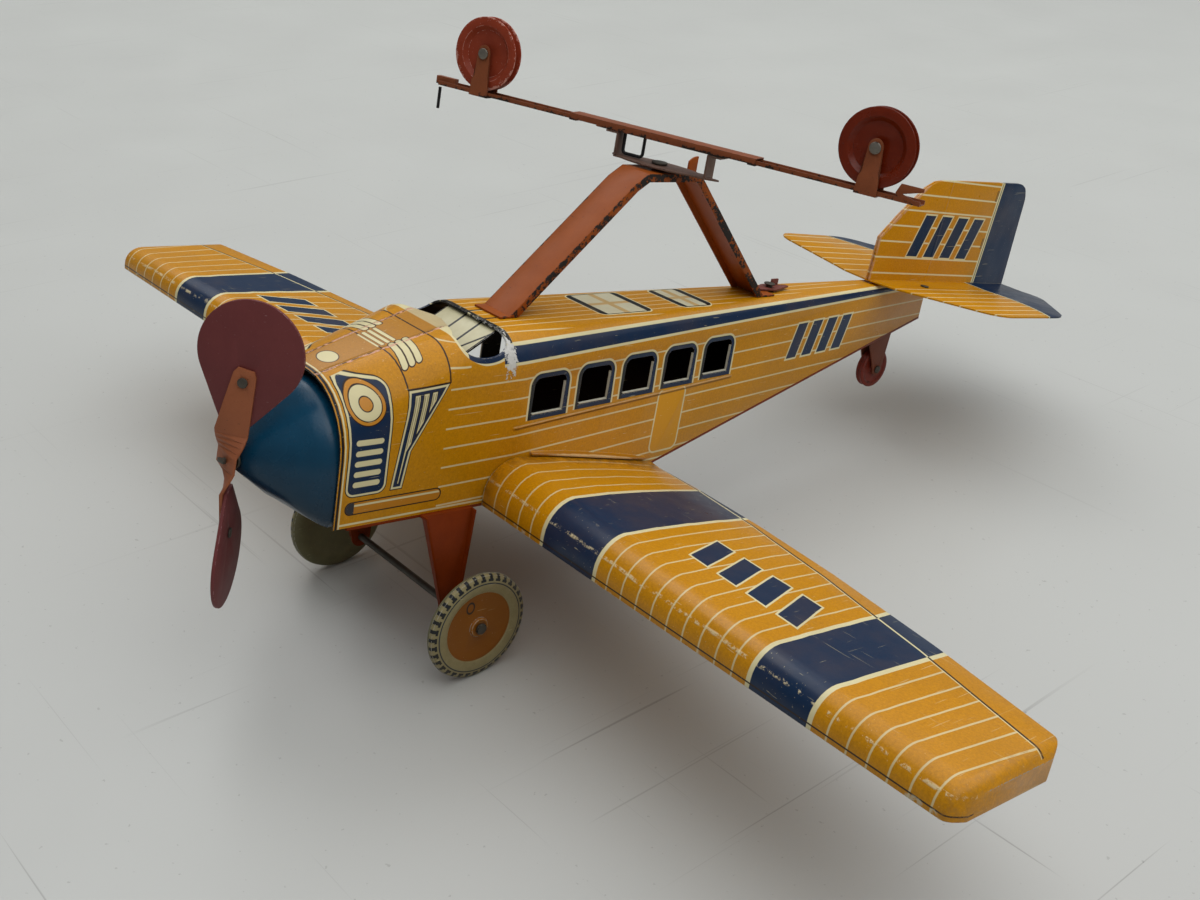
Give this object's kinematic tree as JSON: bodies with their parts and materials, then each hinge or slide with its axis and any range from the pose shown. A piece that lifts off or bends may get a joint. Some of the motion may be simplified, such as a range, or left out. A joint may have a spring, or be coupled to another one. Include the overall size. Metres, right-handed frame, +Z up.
{
  "type": "rubber-powered tin model plane with a string trolley",
  "caption": "Tinplate low-wing cabin monoplane, rubber-driven propeller, tail down on its wheels, with a swivelling pulley trolley on a roof mast.",
  "frame": {"origin": "middle of the bounding box on the ground plane under the wheels", "axes": "+Z up, +Y from nose to tail along the body, +X to the plane's left wing; the body is pitched nose up as it stands"},
  "size_m": [0.538, 0.4993, 0.2203],
  "materials": {
    "ochre_tin": "lithographed tinplate, satin varnish, worn",
    "orange_tin": "lacquered tin, chipped at the folds",
    "teal_lacquer": "satin dark teal lacquer",
    "cream_tin": "cream lithographed tin",
    "strap_paint": "dusty brown-orange paint",
    "fork_paint": "dark brown paint",
    "pulley_red": "glossy red-brown lacquer",
    "blade_fibre": "vulcanised fibre, maroon-brown",
    "bare_steel": "dull steel",
    "black_wire": "blackened wire",
    "rubber_band": "old rubber strip"
  },
  "bodies": {
    "airframe": {"fuselage_shell": "ochre_tin", "belly_pan": "orange_tin", "windscreen_panel": "cream_tin", "nose_cone": "teal_lacquer", "nose_bearing": "bare_steel", "wing_left_upper": "ochre_tin", "wing_left_lower": "ochre_tin", "wing_right_upper": "ochre_tin", "wing_right_lower": "ochre_tin", "tail_left": "ochre_tin", "tail_right": "ochre_tin", "tail_rivets": "bare_steel", "rubber_anchor": "bare_steel", "main_axle": "bare_steel", "tail_wheel_fork": "fork_paint", "tail_wheel_rivet": "bare_steel", "mast": "orange_tin", "latch_rivet": "bare_steel", "pivot_rivet": "bare_steel"},
    "propeller": {"propeller_blade_upper": "blade_fibre", "propeller_blade_lower": "blade_fibre", "hub_strap": "strap_paint", "hub_rivets": "bare_steel", "propeller_shaft": "bare_steel", "thrust_bead": "bare_steel", "rubber_motor": "rubber_band"},
    "wheel_left": {"wheel_left_outer": "cream_tin", "wheel_left_inner": "cream_tin"},
    "wheel_right": {"wheel_right_outer": "cream_tin", "wheel_right_inner": "cream_tin"},
    "tail_wheel_body": {"tail_wheel": "pulley_red"},
    "latch": {"mast_latch": "fork_paint"},
    "swivel": {"swivel_plate": "strap_paint", "trolley_sleeve": "strap_paint", "catch_wire": "black_wire"},
    "slide_bar": {"trolley_bar": "strap_paint", "fork_left": "strap_paint", "fork_right": "strap_paint", "trip_wire": "black_wire", "pulley_rivets": "bare_steel"},
    "pulley_left": {"pulley_left_front": "pulley_red", "pulley_left_back": "pulley_red"},
    "pulley_right": {"pulley_right_front": "pulley_red", "pulley_right_back": "pulley_red"}
  },
  "joints": [
    {"name": "propeller_spin", "type": "hinge", "parent": "airframe", "child": "propeller", "pos_m": [0, -0.23411, 0.09701], "axis": [0, 0.9858, -0.1679], "continuous": true},
    {"name": "wheel_left_roll", "type": "hinge", "parent": "airframe", "child": "wheel_left", "pos_m": [0.0515, -0.16057, 0.0225], "axis": [1, 0, 0], "continuous": true},
    {"name": "wheel_right_roll", "type": "hinge", "parent": "airframe", "child": "wheel_right", "pos_m": [-0.0515, -0.16057, 0.0225], "axis": [1, 0, 0], "continuous": true},
    {"name": "tail_wheel_roll", "type": "hinge", "parent": "airframe", "child": "tail_wheel_body", "pos_m": [0, 0.13626, 0.0345], "axis": [1, 0, 0], "continuous": true},
    {"name": "latch_turn", "type": "hinge", "parent": "airframe", "child": "latch", "pos_m": [0, 0.04867, 0.09794], "axis": [0, 0.1679, 0.9858], "range_deg": [-90, 90]},
    {"name": "trolley_turn", "type": "hinge", "parent": "airframe", "child": "swivel", "pos_m": [0, -0.02736, 0.16972], "axis": [0, 0.1679, 0.9858], "range_deg": [-94, 54]},
    {"name": "trolley_slide", "type": "slide", "parent": "swivel", "child": "slide_bar", "axis": [0.9426, 0.3291, -0.0561], "range_m": [-0.006, 0.006]},
    {"name": "pulley_left_spin", "type": "hinge", "parent": "slide_bar", "child": "pulley_left", "pos_m": [0.08616, 0.00776, 0.19417], "axis": [0.3338, -0.9293, 0.1583], "continuous": true},
    {"name": "pulley_right_spin", "type": "hinge", "parent": "slide_bar", "child": "pulley_right", "pos_m": [-0.08616, -0.0524, 0.20442], "axis": [0.3338, -0.9293, 0.1583], "continuous": true}
  ]
}
